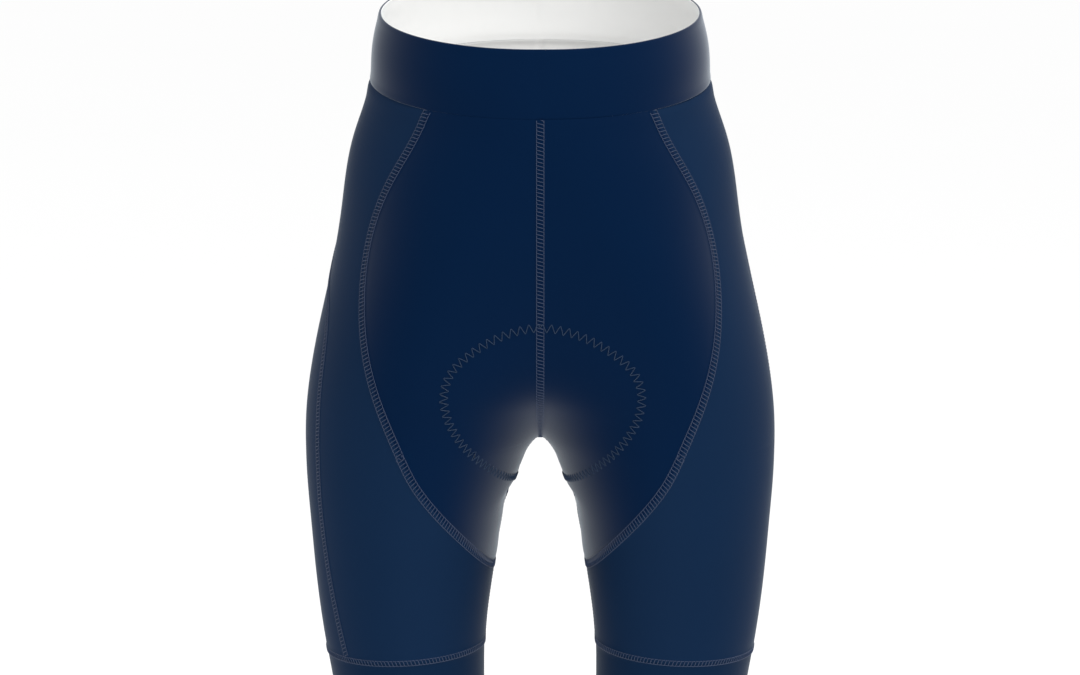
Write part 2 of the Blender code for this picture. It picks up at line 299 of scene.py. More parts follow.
def skin_point(level, place):
    """The skin at a level and a place from 0 to 1 round the half ring.

    Each half is an oval of four quarter ellipses about the leg's middle, in a width that is
    the root of x squared plus the fillet squared. That rounds off the join of the two legs.
    """
    centre, fillet, side = (SKIN_AT[name](level) for name in ("centre", "fillet", "side"))
    inner_arm = centre - SKIN_AT["inner"](level)
    outer_arm = np.hypot(SKIN_AT["outer"](level), fillet) - centre
    start = np.arccos(np.clip((centre - fillet) / inner_arm, -1.0, 1.0))
    turn = start + (2 * np.pi - 2 * start) * place ** 2 * (3 - 2 * place)
    width = centre - np.where(np.cos(turn) > 0, inner_arm, outer_arm) * np.cos(turn)
    front, back = side + SKIN_AT["front"](level), SKIN_AT["back"](level) - side
    depth = np.where(np.sin(turn) > 0, front, back)
    x = np.sqrt(np.maximum(width ** 2 - fillet ** 2, 0.0))
    y = side - depth * np.sin(turn)
    return np.stack([x, y, -lift(level, x, y)], axis=-1)


def lift(level, x, y):
    """Depth below the waist of a level's point at x, y: tilted at the waist, leaning at the hem."""
    leaning = SKIN_AT["lean"](level) * (x - SKIN_AT["centre"](level))
    return level - SKIN_AT["tilt"](level) * y + leaning


def field(level, x, y):
    """One on the skin, less inside it, more outside it: squared width plus squared depth."""
    centre, fillet, side = (SKIN_AT[name](level) for name in ("centre", "fillet", "side"))
    width = np.hypot(x, fillet) - centre
    outer_arm = np.hypot(SKIN_AT["outer"](level), fillet) - centre
    arm = np.where(width < 0, centre - SKIN_AT["inner"](level), outer_arm)
    depth = np.where(y < side, side + SKIN_AT["front"](level), SKIN_AT["back"](level) - side)
    return (width / arm) ** 2 + ((y - side) / depth) ** 2


def skin_normal(level, point):
    """The outward direction: the slope of the field along x, y and z."""
    nudge = 0.02
    x, y = point[..., 0], point[..., 1]
    across = (field(level, x + nudge, y) - field(level, x - nudge, y)) / (2 * nudge)
    along = (field(level, x, y + nudge) - field(level, x, y - nudge)) / (2 * nudge)
    down = (field(level + nudge, x, y) - field(level - nudge, x, y)) / (2 * nudge)
    rate = (lift(level + nudge, x, y) - lift(level - nudge, x, y)) / (2 * nudge)
    fall = down / rate
    out_x = across - fall * SKIN_AT["lean"](level)
    out_y = along + fall * SKIN_AT["tilt"](level)
    normal = np.stack([out_x, out_y, -fall], axis=-1)
    return normal / np.linalg.norm(normal, axis=-1, keepdims=True)


# Tables for every millimetre of level: girth, places for even shares, and the seams' shares
TABLE_LEVELS = np.arange(0.0, HEM_EDGE + 1.0)
TABLE_PLACES = np.linspace(0.0, 1.0, 1001)
TABLE_SHARES = np.linspace(0.0, 1.0, 801)
TABLE_POINTS = skin_point(
    TABLE_LEVELS[:, None] + 0 * TABLE_PLACES, TABLE_PLACES + 0 * TABLE_LEVELS[:, None])
TABLE_LENGTHS = np.cumsum(np.linalg.norm(np.diff(TABLE_POINTS, axis=1), axis=-1), axis=1)
TABLE_LENGTHS = np.pad(TABLE_LENGTHS, ((0, 0), (1, 0)))
GIRTHS = TABLE_LENGTHS[:, -1]
PLACE_ROWS = np.stack(
    [np.interp(TABLE_SHARES, row / row[-1], TABLE_PLACES) for row in TABLE_LENGTHS])
OUTERMOST = TABLE_POINTS[..., 0].argmax(axis=1)


def girth_at(level):
    return np.interp(level, TABLE_LEVELS, GIRTHS)


def place_at(level, share):
    """The place for a share at a level, read between the table's four nearest values."""
    row = np.clip(level, 0.0, TABLE_LEVELS[-1] - 1e-6)
    column = np.clip(share, 0.0, 1.0) * (len(TABLE_SHARES) - 1)
    top = row.astype(int)
    left = np.minimum(column.astype(int), len(TABLE_SHARES) - 2)
    down, right = row - top, column - left
    upper = PLACE_ROWS[top, left] * (1 - right) + PLACE_ROWS[top, left + 1] * right
    lower = PLACE_ROWS[top + 1, left] * (1 - right) + PLACE_ROWS[top + 1, left + 1] * right
    return upper * (1 - down) + lower * down


def length_at_across(row, across):
    """Length of cloth from the middle to where the front view shows a distance across."""
    end = OUTERMOST[row]
    return np.interp(across, TABLE_POINTS[row, :end, 0], TABLE_LENGTHS[row, :end])


def seam_tables():
    """Shares of the curved seam and of each side seam for every level of the table."""
    rows = range(len(TABLE_LEVELS))
    across = CURVED_SEAM_AT["across"](TABLE_LEVELS)
    curve = np.array([length_at_across(row, across[row]) for row in rows]) / GIRTHS
    outermost = TABLE_LENGTHS[rows, OUTERMOST]
    tables = {"curve": np.where(TABLE_LEVELS < CURVE_END, curve, 0.0)}
    for leg, (_, column) in LEGS.items():
        tables[leg] = (outermost - SIDE_SEAM_AT[column](TABLE_LEVELS)) / GIRTHS
    return tables


SEAM_SHARES = seam_tables()


def seam_share(seam, level):
    return np.interp(level, TABLE_LEVELS, SEAM_SHARES[seam])


def on_skin(level, share):
    """Points and outward normals of the smooth skin."""
    points = skin_point(level, place_at(level, share))
    return points, skin_normal(level, points)


def bump(distance, width):
    return np.exp(-(distance / width) ** 2)


def flat_seam_relief(distance):
    """Height over a flat seam at a distance from its middle."""
    away = np.abs(distance)
    ridge = RIDGE_HEIGHT * np.exp(-(away / RIDGE_REACH) ** 4)
    furrow = FURROW_DEPTH * bump(away, FURROW_REACH)
    return ridge - furrow - PULL_DEPTH * bump(away - PULL_AWAY, PULL_REACH)


def share_at_across(levels, across, behind):
    """Shares at which the front or back view shows distances across at some levels."""
    level_grid = levels[:, None] + 0 * TABLE_SHARES
    widths = skin_point(level_grid, place_at(level_grid, TABLE_SHARES + 0 * level_grid))[..., 0]
    shares = []
    for row, distance in zip(widths, across):
        half = slice(None, row.argmax(), -1) if behind else slice(0, row.argmax())
        shares.append(np.interp(distance, row[half], TABLE_SHARES[half]))
    return np.array(shares)


def pad_line(leg, rows, behind):
    """The zigzag line of one half, as levels and shares from its top to the inseam."""
    levels, across = np.array(rows).T
    across = across * PAD_WIDENING[leg]
    levels = np.concatenate([levels[2:0:-1], levels])
    across = np.concatenate([-across[2:0:-1], across])
    chord = np.concatenate([[0.0], np.cumsum(np.hypot(np.diff(levels), np.diff(across)))])
    at = np.linspace(chord[2], chord[-1], 400)
    levels = natural_spline(chord, levels)(at)
    across = np.maximum(natural_spline(chord, across)(at), 0.0)
    return levels, share_at_across(levels, across, behind)


def crease_relief(leg, level, share):
    """Sum of the creases of one leg, each a bell across its line and along it."""
    girth = girth_at(level)
    height = np.zeros(np.broadcast(level, share).shape)
    for owner, mid_level, mid_share, length, width, depth, turn in CREASES:
        if owner == leg:
            side = (share - mid_share) * girth
            drop = level - mid_level
            angle = np.radians(turn)
            along = side * np.cos(angle) - drop * np.sin(angle)
            across = side * np.sin(angle) + drop * np.cos(angle)
            height -= depth * bump(across, width) * bump(along, length)
    return height


def smooth_step(value, low, high):
    rise = np.clip((value - low) / (high - low), 0.0, 1.0)
    return rise ** 2 * (3 - 2 * rise)


def band_step(share):
    """How plainly the waistband stands over the panels: hardly in front, fully at the sides."""
    return 0.15 + 0.85 * smooth_step(share, 0.16, 0.36)


def curved_seam_distance(level, share):
    """Millimetres from the curved seam, with its short level run to the inseam at the end."""
    girth = girth_at(level)
    slope = np.gradient(SEAM_SHARES["curve"] * GIRTHS, TABLE_LEVELS)
    slant = np.interp(level, TABLE_LEVELS, np.hypot(1.0, np.clip(slope, -2.5, 2.5)))
    aside = np.abs(share - seam_share("curve", level)) * girth / slant
    aside = np.where(level < CURVE_END, aside, OUT_OF_REACH)
    last = int(CURVE_END) - 1
    beyond = np.maximum(share * girth - SEAM_SHARES["curve"][last] * GIRTHS[last], 0.0)
    return np.minimum(aside, np.hypot(level - CURVE_END + 0.5, beyond))


def inseam_behind(level):
    """How far behind the innermost line of the leg the inseam runs at a level."""
    return INSEAM_BEHIND * smooth_step(level, CROTCH, CROTCH + INSEAM_TURNS_WITHIN)


def relief(leg, level, share):
    """How far the cloth stands out from the smooth skin: seams, the waistband's dent, creases."""
    girth = girth_at(level)
    side = (share - seam_share(leg, level)) * girth
    height = flat_seam_relief(curved_seam_distance(level, share)) + flat_seam_relief(side)
    behind = inseam_behind(level)
    front_edge, back_edge = share * girth + behind, (1 - share) * girth - behind
    height += flat_seam_relief(front_edge) + flat_seam_relief(back_edge)
    height += flat_seam_relief(level - HEM_SEAM) * HEM_SEAM_HEIGHT
    below_band = level - BAND_SEAM
    swell = BAND_SWELL * bump(below_band - BAND_SWELL_BELOW, BAND_SWELL_REACH)
    height += (swell - BAND_DENT * bump(below_band, BAND_DENT_REACH)) * band_step(share)
    return height + crease_relief(leg, level, share)


def on_cloth(leg, level, share):
    """Points of the cloth's outer face, with the skin's normals."""
    points, normals = on_skin(level, share)
    return points + normals * relief(leg, level, share)[..., None], normals


# Meshes

def link_mesh(name, points, faces, smooth_angle=55.0):
    """An object at the origin from points in millimetres and four-cornered faces."""
    mesh = bpy.data.meshes.new(name)
    mesh.vertices.add(len(points))
    mesh.vertices.foreach_set("co", (points * MM).astype(np.float32).ravel())
    mesh.loops.add(faces.size)
    mesh.loops.foreach_set("vertex_index", faces.astype(np.int32).ravel())
    mesh.polygons.add(len(faces))
    starts = np.arange(0, faces.size, faces.shape[1], dtype=np.int32)
    mesh.polygons.foreach_set("loop_start", starts)
    mesh.update(calc_edges=True)
    mesh.validate()
    mesh.shade_smooth()
    mesh.set_sharp_from_angle(angle=math.radians(smooth_angle))
    obj = bpy.data.objects.new(name, mesh)
    bpy.context.scene.collection.objects.link(obj)
    return obj


def give_cloth_maps(obj, faces, flat, inside):
    """The cloth's own map in metres, so a knit keeps its size, and the mark of inner faces."""
    mesh = obj.data
    corner_map = mesh.uv_layers.new(name="cloth")
    corner_map.data.foreach_set("uv", (flat[faces.ravel()] * MM).astype(np.float32).ravel())
    mark = mesh.attributes.new("inside", "FLOAT", "FACE")
    mark.data.foreach_set("value", inside.astype(np.float32))


def grid_faces(corners):
    """Faces between neighbouring rows and columns of corner numbers, facing out for +X."""
    four = [corners[:-1, :-1], corners[1:, :-1], corners[1:, 1:], corners[:-1, 1:]]
    return np.stack(four, axis=-1).reshape(-1, 4)


def panel_shell(name, sign, outer, normals, flat, wall):
    """A panel: its outer face, its inner face a wall's thickness in, and the rim between them."""
    rows, columns = outer.shape[:2]
    count = rows * columns
    corners = np.arange(count).reshape(rows, columns)
    rim = np.concatenate([corners[0, :-1], corners[:-1, -1], corners[-1, :0:-1], corners[:0:-1, 0]])
    onward = np.roll(rim, -1)
    outside = grid_faces(corners)
    rim_faces = np.stack([rim, onward, onward + count, rim + count], axis=-1)
    faces = np.concatenate([outside, outside[:, ::-1] + count, rim_faces])
    inside = np.concatenate([np.zeros(len(outside)), np.ones(len(outside)), np.zeros(len(rim))])
    points = np.concatenate([outer.reshape(-1, 3), (outer - wall * normals).reshape(-1, 3)])
    points = points * np.array([sign, 1.0, 1.0])
    if sign < 0:
        faces = faces[:, ::-1]
    obj = link_mesh(name, points, faces)
    give_cloth_maps(obj, faces, np.tile(flat.reshape(-1, 2), (2, 1)), inside)
    return obj


def spread(first, last, count, close):
    """Numbers from 0 to 1 for columns, set close together within some mm of each edge."""
    width = np.maximum(last - first, 1e-6)
    edge = np.array(close)
    scale = np.minimum(1.0, width / (4 * edge[-1]))
    near = edge * scale[:, None] / width[:, None]
    middle = np.linspace(0.0, 1.0, count + 1)[1:-1]
    between = near[:, -1:] + (1 - 2 * near[:, -1:]) * middle
    return np.concatenate([near, between, 1 - near[:, ::-1]], axis=1)


# Distances from a seam of the columns next to it, and how many lie between
EDGE_COLUMNS = (0.0, 0.5, 1.1, 2.0, 3.0, 4.0, 5.2, 7.0)
FRONT_PANEL_COLUMNS = 44
THIGH_PANEL_COLUMNS = 64
BACK_PANEL_COLUMNS = 76


def panel_rows(tip):
    """Levels of a panel's rows: fine at the band and the hem seam, finest round the crotch."""
    head = BAND_SEAM + np.array([0.0, 0.6, 1.3, 2.2, 3.4, 5.0, 7.0, 9.5])
    above = CROTCH - (CROTCH - head[-1]) * np.linspace(1.0, 0.0, 96)[1:] ** 1.7
    swing = (1 - np.cos(np.pi * np.linspace(0.0, 1.0, 42))) / 2
    below = CROTCH + (tip - CROTCH) * swing[1:]
    tail = HEM_SEAM - np.array([6.0, 4.4, 3.2, 2.2, 1.2, 0.5, 0.0])
    between = np.linspace(CURVE_END, tail[0], 26)[:-1]
    return np.concatenate([head, above, below, between, tail])


def cloth_flat_map(outer, widths):
    """Each point's place on the flat cloth: millimetres across its row and down its column."""
    down = np.linalg.norm(np.diff(outer, axis=0), axis=-1)
    down = np.pad(np.cumsum(down, axis=0), ((1, 0), (0, 0)))
    return np.stack([widths, down], axis=-1)


def build_panel(name, leg, levels, first, last, columns):
    """One panel between two seams, given as millimetres of cloth from the middle."""
    girth = girth_at(levels)
    columns = spread(first, last, columns, EDGE_COLUMNS)
    lengths = first[:, None] + (last - first)[:, None] * columns
    shares = lengths / girth[:, None]
    level_grid = levels[:, None] + 0 * shares
    outer, normals = on_cloth(leg, level_grid, shares)
    flat = cloth_flat_map(outer, lengths)
    return panel_shell(name, LEGS[leg][0], outer, normals, flat, PANEL_WALL)


def build_panels(leg):
    """Front, thigh and back panels of one leg."""
    tip = CURVE_END - TIP_TRIM
    rows = panel_rows(tip)
    girth = girth_at(rows)
    curve = np.where(rows < CURVE_END, seam_share("curve", rows) * girth, 0.0)
    side = seam_share(leg, rows) * girth
    above_tip = rows <= tip
    return {
        "front_panel_" + leg: build_panel(
            "front_panel_cloth_" + leg, leg, rows[above_tip],
            0 * girth[above_tip], curve[above_tip], FRONT_PANEL_COLUMNS),
        "thigh_panel_" + leg: build_panel(
            "thigh_panel_cloth_" + leg, leg, rows, curve, side, THIGH_PANEL_COLUMNS),
        "back_panel_" + leg: build_panel(
            "back_panel_cloth_" + leg, leg, rows, side, girth, BACK_PANEL_COLUMNS),
    }


def band_profile(top, bottom, wall, rows, top_round, bottom_round):
    """A band's closed section as levels and depths in from the skin: outer face down, round the
    lower edge, inner face up, round the upper edge. The edges bulge by the given roundness in
    mm, boxy when it is small."""
    half = wall / 2
    turn = np.linspace(0.0, np.pi, 11)[1:-1]

    def edge(roundness):
        boxy = min(1.0, roundness / half) ** 0.5
        inward = half - half * np.sign(np.cos(turn)) * np.abs(np.cos(turn)) ** boxy
        return roundness * np.sin(turn) ** boxy, inward

    down = np.linspace(top + top_round, bottom - bottom_round, rows)
    out, depth = edge(bottom_round)
    lower = np.stack([bottom - bottom_round + out, depth], axis=1)
    out, depth = edge(top_round)
    upper = np.stack([top + top_round - out, depth], axis=1)[::-1]
    outer = np.stack([down, 0 * down], axis=1)
    inner = np.stack([down[::-1], 0 * down + wall], axis=1)
    return np.concatenate([outer, lower, inner, upper])


def band_ring(name, sign_pairs, profile, shares, press, wave):
    """A band: its closed section carried round the body or round one leg.

    press gives how far the band lies inside the skin at a level, wave its small swells.
    """
    level_grid = np.maximum(profile[:, :1], 0.0) + 0 * shares
    halves = []
    for sign in sign_pairs:
        points, normals = on_skin(level_grid, shares + 0 * level_grid)
        depth = profile[:, 1:] + press(level_grid) - wave(level_grid, shares, sign)
        points = points - normals * depth[..., None]
        overhang = np.minimum(profile[:, :1], 0.0)
        points[..., 2] -= overhang
        halves.append(points * np.array([sign, 1.0, 1.0]))
    if len(halves) == 2:
        ring = np.concatenate([halves[0], halves[1][:, -2:0:-1]], axis=1)
    else:
        ring = halves[0][:, :-1]
    rows, columns = ring.shape[:2]
    corners = np.arange(rows * columns).reshape(rows, columns)
    corners = np.concatenate([corners, corners[:, :1]], axis=1)
    corners = np.concatenate([corners, corners[:1]], axis=0)
    faces = grid_faces(corners)
    if sign_pairs[0] < 0:
        faces = faces[:, ::-1]
    obj = link_mesh(name, ring.reshape(-1, 3), faces)
    around = np.linalg.norm(np.diff(ring, axis=1, append=ring[:, :1]), axis=-1)
    around = np.cumsum(around, axis=1) - around
    down = np.cumsum(np.linalg.norm(np.diff(profile, axis=0, prepend=profile[:1]), axis=1))
    flat = np.stack([around, down[:, None] + 0 * around], axis=-1).reshape(-1, 2)
    thick = profile[:, 1].max()
    row_inside = (profile[:, 1] > 0.75 * thick) & (np.roll(profile[:, 1], -1) > 0.75 * thick)
    inside = np.repeat(row_inside.astype(float), columns)
    give_cloth_maps(obj, faces, flat, inside)
    return obj


def build_waistband():
    """The waistband: folded at the top, with a rounded lip at its lower edge over the panels."""
    profile = band_profile(
        0.0, BAND_SEAM + 0.2, WAISTBAND_WALL, rows=34, top_round=1.0, bottom_round=0.45)

    def press(level):
        return np.clip((level - 30.0) / 31.0, 0.0, 1.0) ** 2

    def wave(level, share, sign):
        lip = 0.35 * bump(level - BAND_SEAM + 0.8, 2.6) * band_step(share)
        fold = 0.3 * bump(level - 2.5, 3.0)
        swell = 0.25 * np.sin(9.0 * share + 2.0 * sign + 0.05 * level) * bump(level - 32.0, 30.0)
        return lip + fold + swell

    shares = np.linspace(0.0, 1.0, 181)
    return band_ring("waistband_cloth", (1.0, -1.0), profile, shares, press, wave)


def build_leg_band(leg):
    """A leg band: a ring below the hem seam, folded at its open edge."""
    profile = band_profile(
        HEM_SEAM, HEM_EDGE, LEG_BAND_WALL, rows=30, top_round=0.05, bottom_round=0.7)

    def press(level):
        return 0.25 * np.clip((level - HEM_SEAM) / 3.0, 0.0, 1.0)

    def wave(level, share, sign):
        seam = flat_seam_relief(level - HEM_SEAM) * HEM_SEAM_HEIGHT
        swell = 0.2 * np.sin(14.0 * share + 3.0 * sign) * bump(level - 530.0, 18.0)
        fold = 0.3 * bump(level - HEM_EDGE + 2.0, 3.0)
        return seam + swell + fold

    shares = np.linspace(0.0, 1.0, 221)
    return band_ring("leg_band_cloth_" + leg, (LEGS[leg][0],), profile, shares, press, wave)


# Threads

def even_run(points, spacing):
    """Numbers along a line of points, evenly spaced by length, and the length at each."""
    lengths = np.pad(np.cumsum(np.linalg.norm(np.diff(points, axis=0), axis=1)), (1, 0))
    count = max(4, int(lengths[-1] / spacing))
    at = np.linspace(0.0, lengths[-1], count)
    return np.interp(at, lengths, np.arange(len(points))), at


class SeamLine:
    """A line on the cloth of one leg, through levels and shares."""

    def __init__(self, leg, levels, shares):
        self.leg, self.levels, self.shares = leg, levels, shares
        self.points = on_cloth(leg, levels, shares)[0]

    def run(self, spacing):
        """Points, normals, ways across and lengths at an even spacing."""
        index, at = even_run(self.points, spacing)
        numbers = np.arange(len(self.levels))
        levels = np.interp(index, numbers, self.levels)
        shares = np.interp(index, numbers, self.shares)
        points, normals = on_cloth(self.leg, levels, shares)
        along = np.gradient(points, axis=0)
        sideways = np.cross(normals, along)
        sideways /= np.linalg.norm(sideways, axis=1, keepdims=True)
        return points, normals, sideways, at


def tube(points, normals, radius):
    """A thread: a ring of points round each point of a line, the first and last narrowed."""
    along = np.gradient(points, axis=0)
    along /= np.linalg.norm(along, axis=1, keepdims=True)
    sideways = np.cross(normals, along)
    sideways /= np.linalg.norm(sideways, axis=1, keepdims=True)
    up = np.cross(along, sideways)
    turn = np.linspace(0.0, 2 * np.pi, TUBE_SIDES, endpoint=False)
    ring = np.cos(turn)[:, None] * sideways[:, None] + np.sin(turn)[:, None] * up[:, None]
    size = np.full(len(points), radius)
    size[[0, -1]] = radius * THREAD_TIP
    rings = points[:, None] + ring * size[:, None, None]
    corners = np.arange(rings.shape[0] * TUBE_SIDES).reshape(-1, TUBE_SIDES)
    corners = np.concatenate([corners, corners[:, :1]], axis=1)
    return rings.reshape(-1, 3), grid_faces(corners)[:, ::-1]


def thread_piece(name, threads, sign=1.0):
    """Threads joined into one piece, mirrored where the sign is below 0."""
    points, faces, start = [], [], 0
    for thread_points, thread_faces in threads:
        points.append(thread_points)
        faces.append(thread_faces + start)
        start += len(thread_points)
    points, faces = np.concatenate(points), np.concatenate(faces)
    points = points * np.array([sign, 1.0, 1.0])
    if sign < 0:
        faces = faces[:, ::-1]
    return link_mesh(name, points, faces, smooth_angle=180.0)


def triangle_wave(phase):
    """From -1 to 1 and back with each whole number, its corners a little rounded."""
    return np.arcsin(0.97 * np.sin(2 * np.pi * phase)) / np.arcsin(0.97)


def stitch_row(line, offset, pitch, radius):
    """One straight thread row: it dives into the cloth once a stitch."""
    points, normals, sideways, at = line.run(pitch / 6)
    rise = radius * (1.9 * np.abs(np.sin(np.pi * at / pitch)) - 1.3)
    return tube(points + offset * sideways + rise[:, None] * normals, normals, radius)


def zigzag(line, half_width, pitch, radius):
    """A thread that runs from side to side on the cloth, its stitches closer towards the end."""
    points, normals, sideways, at = line.run(pitch / 16)
    swing = triangle_wave(at / pitch * (1 + PAD_ZIGZAG_CLOSER * at / at[-1]))
    rise = radius * (0.7 - 0.9 * np.abs(swing) ** 6)
    across = half_width * swing[:, None] * sideways
    return tube(points + across + rise[:, None] * normals, normals, radius)


def rungs(line, half_width, pitch, radius):
    """A thread that crosses on the cloth once a stitch and goes back under it."""
    points, normals, sideways, at = line.run(pitch / 8)
    swing = half_width * triangle_wave(at / pitch)
    rise = radius * np.clip(2.4 * np.cos(2 * np.pi * at / pitch), -2.2, 0.6)
    return tube(points + swing[:, None] * sideways + rise[:, None] * normals, normals, radius)


def flat_seam(line, half_width=SEAM_HALF_WIDTH):
    """A flat seam's threads: two rows and the thread that crosses between them."""
    return [
        stitch_row(line, half_width, STITCH_PITCH, THREAD_RADIUS),
        stitch_row(line, -half_width, STITCH_PITCH, THREAD_RADIUS),
        rungs(line, half_width * 0.96, STITCH_PITCH, THREAD_RADIUS * 1.05),
    ]


def build_threads():
    """Every seam's threads, by the name of the piece."""
    pieces = {}

    def add(name, threads, sign=1.0):
        pieces[name] = thread_piece(name, threads, sign)

    top, bottom = BAND_SEAM + 0.6, HEM_SEAM - 3.0
    bend = CURVE_END - 1
    middle = CROTCH - (CROTCH - top) * np.linspace(1.0, 0.0, 700) ** 2.2
    curve_levels = np.append(
        np.linspace(top, bend, 700), np.linspace(bend, CURVE_END, 60)[1:-1])
    side_levels = np.linspace(top, bottom, 700)
    inseam_levels = CROTCH + (bottom - CROTCH) * np.linspace(0.02, 1.0, 500) ** 1.6
    inseam_shares = 1 - inseam_behind(inseam_levels) / girth_at(inseam_levels)
    hem_shares = np.linspace(0.0, 1.0, 900)
    for leg, (sign, _) in LEGS.items():
        curve = SeamLine(leg, curve_levels, seam_share("curve", curve_levels))
        side = SeamLine(leg, side_levels, seam_share(leg, side_levels))
        inseam = SeamLine(leg, inseam_levels, inseam_shares)
        hem = SeamLine(leg, 0 * hem_shares + HEM_SEAM, hem_shares)
        add("curved_seam_threads_" + leg, flat_seam(curve, CURVED_SEAM_HALF_WIDTH), sign)
        add("side_seam_threads_" + leg, flat_seam(side), sign)
        add("inseam_threads_" + leg, flat_seam(inseam), sign)
        add("hem_threads_" + leg, flat_seam(hem, HEM_HALF_WIDTH), sign)
        pad_threads = []
        for rows, behind in ((PAD_FRONT, False), (PAD_BACK, True)):
            pad = SeamLine(leg, *pad_line(leg, rows, behind))
            pad_threads.append(
                zigzag(pad, PAD_ZIGZAG_HALF_WIDTH, PAD_ZIGZAG_PITCH, PAD_THREAD_RADIUS))
        add("pad_zigzag_" + leg, pad_threads, sign)
    add("centre_front_threads", flat_seam(SeamLine("left", middle, 0 * middle)))
    add("centre_back_threads", flat_seam(SeamLine("left", middle, 0 * middle + 1.0)))
    return pieces


# Materials

class Value:
    """A number in a shader. Python's + and * on it add Math nodes."""

    def __init__(self, shader, socket):
        self.shader, self.socket = shader, socket

    def math(self, operation, *others):
        sockets = dict(enumerate((self, *others)))
        return self.shader.node("ShaderNodeMath", {"operation": operation}, sockets)

    def __add__(self, other):
        return self.math("ADD", other)

    def __mul__(self, other):
        return self.math("MULTIPLY", other)


class Shader:
    """A material with one Principled shader, built node by node."""

    def __init__(self, name):
        self.material = bpy.data.materials.new(name)
        self.material.use_nodes = True
        self.tree = self.material.node_tree
        self.tree.nodes.clear()

    def node(self, kind, settings=None, sockets=None, output=0):
        """Add a node: its settings first, then the values or links of its sockets."""
        new = self.tree.nodes.new(kind)
        for key, value in (settings or {}).items():
            setattr(new, key, value)
        for key, value in (sockets or {}).items():
            if isinstance(value, Value):
                self.tree.links.new(value.socket, new.inputs[key])
            else:
                new.inputs[key].default_value = value
        return Value(self, new.outputs[output])

    def mix_colour(self, factor, first, second):
        sockets = {0: factor, 6: first, 7: second}
        return self.node("ShaderNodeMix", {"data_type": "RGBA"}, sockets, 2)

    def place(self):
        """A point's place on the object, in metres."""
        return self.node("ShaderNodeTexCoord", None, None, "Object")

    def noise(self, place, scale, detail):
        sockets = {"Vector": place, "Scale": scale, "Detail": detail, "Roughness": 0.5}
        return self.node("ShaderNodeTexNoise", None, sockets)

    def bump(self, height, strength):
        sockets = {"Strength": strength, "Distance": 0.00005, "Height": height}
        return self.node("ShaderNodeBump", None, sockets)

    def finish(self, sockets):
        """Give the material its surface from the Principled shader's values or links."""
        surface = self.node("ShaderNodeBsdfPrincipled", None, sockets)
        output = self.tree.nodes.new("ShaderNodeOutputMaterial")
        self.tree.links.new(surface.socket, output.inputs["Surface"])
        return self.material


def knit_material(name, dark, light, rib, sheen, sheen_roughness, painted_sheen):
    """Stretch knit: fine wales and courses, soft cloudy colour, sheen, white on the inside.

    rib is the width of a wale in metres; the last value, how much paler grey the base colour
    is painted towards grazing views: a painted sheen.
    """
    shader = Shader(name)
    flat = shader.node("ShaderNodeUVMap", {"uv_map": "cloth"})
    parts = shader.node("ShaderNodeSeparateXYZ", None, {0: flat})
    across = Value(shader, parts.socket.node.outputs["X"])
    down = Value(shader, parts.socket.node.outputs["Y"])
    place = shader.place()
    clouds = shader.noise(place, 9.0, 3.0)
    fuzz = shader.noise(place, 1400.0, 2.0)
    wales = (across * (2 * math.pi / rib)).math("SINE")
    courses = (down * (2 * math.pi / (rib * 0.8)) + wales * 0.8).math("SINE")
    inside = shader.node("ShaderNodeAttribute", {"attribute_name": "inside"}, None, "Fac")
    shade = clouds * 0.7 + fuzz * 0.2 + wales * 0.05
    navy = shader.mix_colour(shade, dark, light)
    grazing = shader.node("ShaderNodeLayerWeight", None, {"Blend": 0.5}, "Facing")
    # Painted sheen: the base colour is painted towards a pale grey by the cube of how grazing the
    # view is
    painted_sheen_colour = shader.mix_colour(grazing * grazing * grazing * painted_sheen, navy, PAINTED_SHEEN_GREY)
    colour = shader.mix_colour(inside, painted_sheen_colour, INSIDE_WHITE)
    rough = clouds * 0.08 + fuzz * 0.06 + 0.53
    height = wales * 0.5 + courses * 0.35 + fuzz * 0.4
    return shader.finish({
        "Base Color": colour,
        "Roughness": rough,
        "Normal": shader.bump(height, 0.25),
        "Specular IOR Level": 0.025,
        "Sheen Weight": sheen,
        "Sheen Roughness": sheen_roughness,
        "Sheen Tint": SHEEN_BLUE,
    })


def thread_material(name, dark, light):
    """Slate thread: a twist of plies as fine ridges, slightly uneven in colour."""
    shader = Shader(name)
    place = shader.place()
    patches = shader.noise(place, 260.0, 2.0)
    plies = shader.node("ShaderNodeTexWave", {"bands_direction": "DIAGONAL"},
                        {"Vector": place, "Scale": 900.0, "Distortion": 1.5}, "Fac")
    colour = shader.mix_colour(patches, dark, light)
    return shader.finish({
        "Base Color": colour,
        "Roughness": patches * 0.1 + 0.5,
        "Normal": shader.bump(plies, 0.3),
        "Specular IOR Level": 0.15,
        "Sheen Weight": 0.1,
    })


def floor_material():
    """Plain pale floor with the faintest clouding."""
    shader = Shader("pale_floor")
    colour = shader.mix_colour(shader.noise(shader.place(), 0.6, 2.0), *FLOOR_WHITE)
    return shader.finish({"Base Color": colour, "Roughness": 0.9, "Specular IOR Level": 0.0})


# The room

